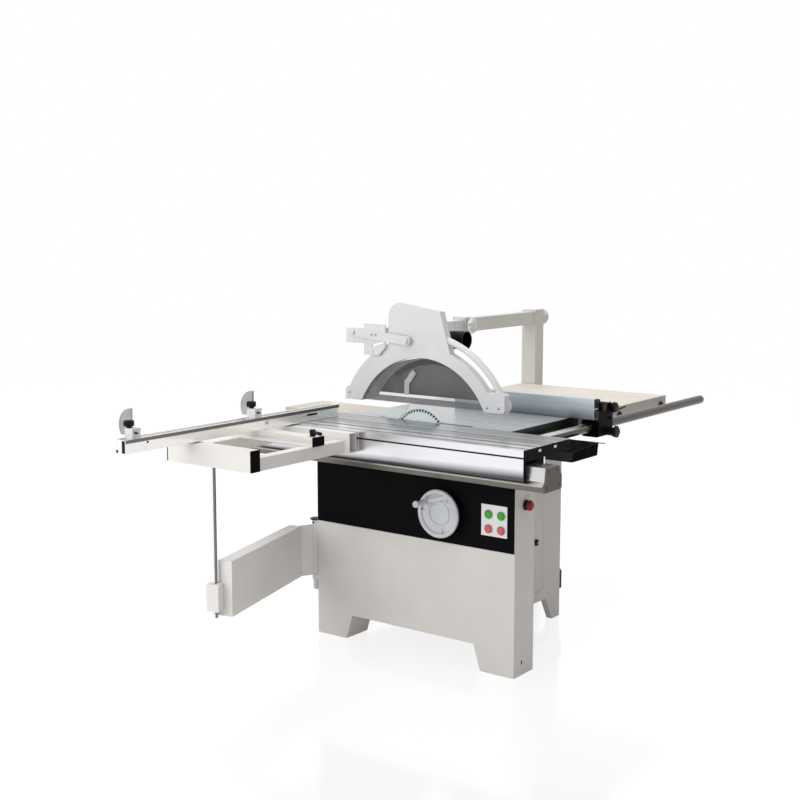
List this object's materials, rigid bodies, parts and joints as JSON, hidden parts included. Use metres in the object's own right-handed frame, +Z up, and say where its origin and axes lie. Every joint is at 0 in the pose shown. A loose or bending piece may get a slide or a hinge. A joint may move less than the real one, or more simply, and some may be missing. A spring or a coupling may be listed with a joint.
{
  "type": "sliding table saw",
  "caption": "Sliding table saw with crosscut carriage, swinging support arm, rip fence on a round bar, overhead arch guard and a saw unit raised by a handwheel",
  "frame": {"origin": "middle of the bounding box's base, on the floor", "axes": "+X along the slide to the operator's end, +Y to the rear along the fence bar, +Z up"},
  "size_m": [1.45, 2.745, 1.3137],
  "materials": {
    "light_paint": "satin powder coat",
    "black_paint": "satin powder coat",
    "black_plastic": "moulded",
    "anodised": "extruded, clear anodised",
    "grey_plastic": "moulded",
    "cast_top": "ground",
    "cream_paint": "satin powder coat",
    "steel": "ground",
    "white_paint": "satin paint",
    "grey_paint": "satin paint",
    "belt_rubber": "moulded",
    "smoked_clear": "clear smoked sheet",
    "green_plastic": "moulded",
    "red_plastic": "moulded"
  },
  "bodies": {
    "base": {"cabinet_frame": "light_paint", "control_panel": "black_paint", "cabinet_body": "light_paint", "mains_inlet": "black_plastic", "base_rail": "anodised", "rail_end_caps": "grey_plastic", "main_table": "cast_top", "extension_table": "cream_paint", "outfeed_table": "cream_paint", "fence_bar": "steel", "tool_tray": "black_paint", "overhead_column": "light_paint", "overhead_arm": "light_paint", "arm_extension": "light_paint", "support_hinge": "light_paint", "button_plate": "black_plastic", "guide_columns": "steel", "scoring_unit": "grey_paint"},
    "door": {"access_door": "light_paint", "door_knob": "black_plastic"},
    "carriage": {"slider": "anodised", "slider_fittings": "black_plastic", "crosscut_beams": "white_paint", "crossbar": "anodised"},
    "cage": {"slider_rollers": "steel"},
    "bar_lever": {"crossbar_lever": "black_plastic"},
    "cross_fence": {"crosscut_fence": "anodised"},
    "stop_a": {"stop_block_a": "white_paint"},
    "flap_a": {"stop_flap_a": "grey_paint"},
    "stop_b": {"stop_block_b": "white_paint"},
    "flap_b": {"stop_flap_b": "grey_paint"},
    "swing": {"swing_arm": "light_paint"},
    "tele": {"inner_arm": "light_paint", "support_post": "steel"},
    "fence_rider": {"fence_carriage": "black_paint"},
    "fence_body": {"rip_fence": "anodised"},
    "lock_knob": {"fence_lock_knob": "black_plastic"},
    "clamp_knob": {"fence_clamp_knob": "black_plastic"},
    "saw": {"saw_carrier": "grey_paint", "main_motor": "grey_paint", "drive_belt": "belt_rubber", "riving_knife": "steel"},
    "motor_rotor": {"motor_pulley": "steel"},
    "arbor": {"saw_arbor": "steel", "saw_blade": "steel"},
    "scorer": {"scoring_blade": "steel"},
    "screw": {"lift_screw": "steel"},
    "wheel": {"handwheel": "white_paint"},
    "crank": {"crank_handle": "white_paint"},
    "button_1": {"green_button_a": "green_plastic"},
    "button_2": {"green_button_b": "green_plastic"},
    "button_3": {"red_button_a": "red_plastic"},
    "button_4": {"red_button_b": "red_plastic"},
    "mushroom": {"emergency_stop": "red_plastic"},
    "link": {"guard_link": "light_paint"},
    "guard": {"guard_casing": "white_paint", "guard_hood": "smoked_clear", "guard_handle": "white_paint", "dust_spout": "black_plastic"},
    "wheel_roller": {"guard_roller": "white_paint"}
  },
  "joints": [
    {"name": "carriage_slide", "type": "slide", "parent": "base", "child": "carriage", "axis": [1, 0, 0], "range_m": [-0.45, 0.45]},
    {"name": "cage_slide", "type": "slide", "parent": "base", "child": "cage", "axis": [1, 0, 0], "range_m": [-0.225, 0.225]},
    {"name": "support_swing", "type": "hinge", "parent": "base", "child": "swing", "pos_m": [-0.373, -0.3975, 0.331], "axis": [0, 0, 1], "range_deg": [-38.7, 38.7]},
    {"name": "support_extend", "type": "slide", "parent": "swing", "child": "tele", "axis": [0.2773, -0.9608, 0], "range_m": [0, 0.25]},
    {"name": "fence_swivel", "type": "hinge", "parent": "carriage", "child": "cross_fence", "pos_m": [-0.39, -0.7035, 0.851], "axis": [0, 0, 1], "range_deg": [-30, 30]},
    {"name": "stop_a_slide", "type": "slide", "parent": "cross_fence", "child": "stop_a", "axis": [0, 1, 0], "range_m": [0, 0.44]},
    {"name": "stop_b_slide", "type": "slide", "parent": "cross_fence", "child": "stop_b", "axis": [0, 1, 0], "range_m": [0, 0.42]},
    {"name": "stop_a_flip", "type": "hinge", "parent": "stop_a", "child": "flap_a", "pos_m": [-0.428, -1.2962, 0.9095], "axis": [0, 1, 0], "range_deg": [0, 90]},
    {"name": "stop_b_flip", "type": "hinge", "parent": "stop_b", "child": "flap_b", "pos_m": [-0.428, -0.7012, 0.9095], "axis": [0, 1, 0], "range_deg": [0, 90]},
    {"name": "crossbar_lever_turn", "type": "hinge", "parent": "carriage", "child": "bar_lever", "pos_m": [-0.124, -0.7035, 0.86], "axis": [0, 0, 1], "range_deg": [-90, 90]},
    {"name": "rip_fence_slide", "type": "slide", "parent": "base", "child": "fence_rider", "axis": [0, 1, 0], "range_m": [-0.33, 0.75]},
    {"name": "rip_fence_shift", "type": "slide", "parent": "fence_rider", "child": "fence_body", "axis": [1, 0, 0], "range_m": [-0.2, 0.05]},
    {"name": "fence_lock_turn", "type": "hinge", "parent": "fence_rider", "child": "lock_knob", "pos_m": [0.501, 0.3888, 0.79], "axis": [1, 0, 0], "range_deg": [-180, 180]},
    {"name": "fence_clamp_turn", "type": "hinge", "parent": "fence_rider", "child": "clamp_knob", "pos_m": [0.496, 0.3178, 0.898], "axis": [1, 0, 0], "range_deg": [-180, 180]},
    {"name": "handwheel_turn", "type": "hinge", "parent": "base", "child": "wheel", "pos_m": [0.258, -0.4525, 0.569], "axis": [0, 1, 0], "range_deg": [-2088, 540]},
    {"name": "saw_rise", "type": "slide", "parent": "base", "child": "saw", "axis": [0, 0, 1], "range_m": [-0.058, 0.015]},
    {"name": "lift_screw_turn", "type": "hinge", "parent": "base", "child": "screw", "pos_m": [0.258, -0.0725, 0.5], "axis": [0, 0, 1], "range_deg": [-2088, 540]},
    {"name": "crank_spin", "type": "hinge", "parent": "wheel", "child": "crank", "pos_m": [0.20678, -0.4875, 0.60902], "axis": [0, 1, 0], "continuous": true},
    {"name": "blade_spin", "type": "hinge", "parent": "saw", "child": "arbor", "pos_m": [-0.029, -0.1675, 0.773], "axis": [0, 1, 0], "continuous": true},
    {"name": "motor_spin", "type": "hinge", "parent": "saw", "child": "motor_rotor", "pos_m": [-0.029, -0.0155, 0.5], "axis": [0, 1, 0], "continuous": true},
    {"name": "scoring_spin", "type": "hinge", "parent": "base", "child": "scorer", "pos_m": [0.16, -0.1675, 0.802], "axis": [0, 1, 0], "continuous": true},
    {"name": "button_1_press", "type": "slide", "parent": "base", "child": "button_1", "axis": [0, 1, 0], "range_m": [0, 0.004], "stiffness_N_per_m": 400, "springref_m": -0.001},
    {"name": "button_2_press", "type": "slide", "parent": "base", "child": "button_2", "axis": [0, 1, 0], "range_m": [0, 0.004], "stiffness_N_per_m": 400, "springref_m": -0.001},
    {"name": "button_3_press", "type": "slide", "parent": "base", "child": "button_3", "axis": [0, 1, 0], "range_m": [0, 0.004], "stiffness_N_per_m": 400, "springref_m": -0.001},
    {"name": "button_4_press", "type": "slide", "parent": "base", "child": "button_4", "axis": [0, 1, 0], "range_m": [0, 0.004], "stiffness_N_per_m": 400, "springref_m": -0.001},
    {"name": "emergency_press", "type": "slide", "parent": "base", "child": "mushroom", "axis": [-1, 0, 0], "range_m": [0, 0.005], "stiffness_N_per_m": 600, "springref_m": -0.001},
    {"name": "door_swing", "type": "hinge", "parent": "base", "child": "door", "pos_m": [0.314, -0.2215, 0.385], "axis": [0, 0, -1], "range_deg": [0, 90]},
    {"name": "guard_lift", "type": "hinge", "parent": "base", "child": "link", "pos_m": [-0.315, -0.2305, 1.191], "axis": [0, -1, 0], "range_deg": [-12, 15]},
    {"name": "guard_level", "type": "hinge", "parent": "link", "child": "guard", "pos_m": [-0.05178, -0.2305, 1.1682], "axis": [0, -1, 0], "range_deg": [-15, 12]},
    {"name": "guard_roller_spin", "type": "hinge", "parent": "guard", "child": "wheel_roller", "pos_m": [0.355, -0.1695, 0.94], "axis": [0, 1, 0], "continuous": true}
  ],
  "couplings": [
    {"joint": "cage_slide", "follows": "carriage_slide", "ratio": 0.5},
    {"joint": "support_swing", "follows": "carriage_slide", "rad_per_m": 1.5},
    {"joint": "saw_rise", "follows": "handwheel_turn", "m_per_rad": 0.0015915},
    {"joint": "lift_screw_turn", "follows": "handwheel_turn", "ratio": 1},
    {"joint": "motor_spin", "follows": "blade_spin", "ratio": 0.75},
    {"joint": "guard_level", "follows": "guard_lift", "ratio": -1}
  ]
}
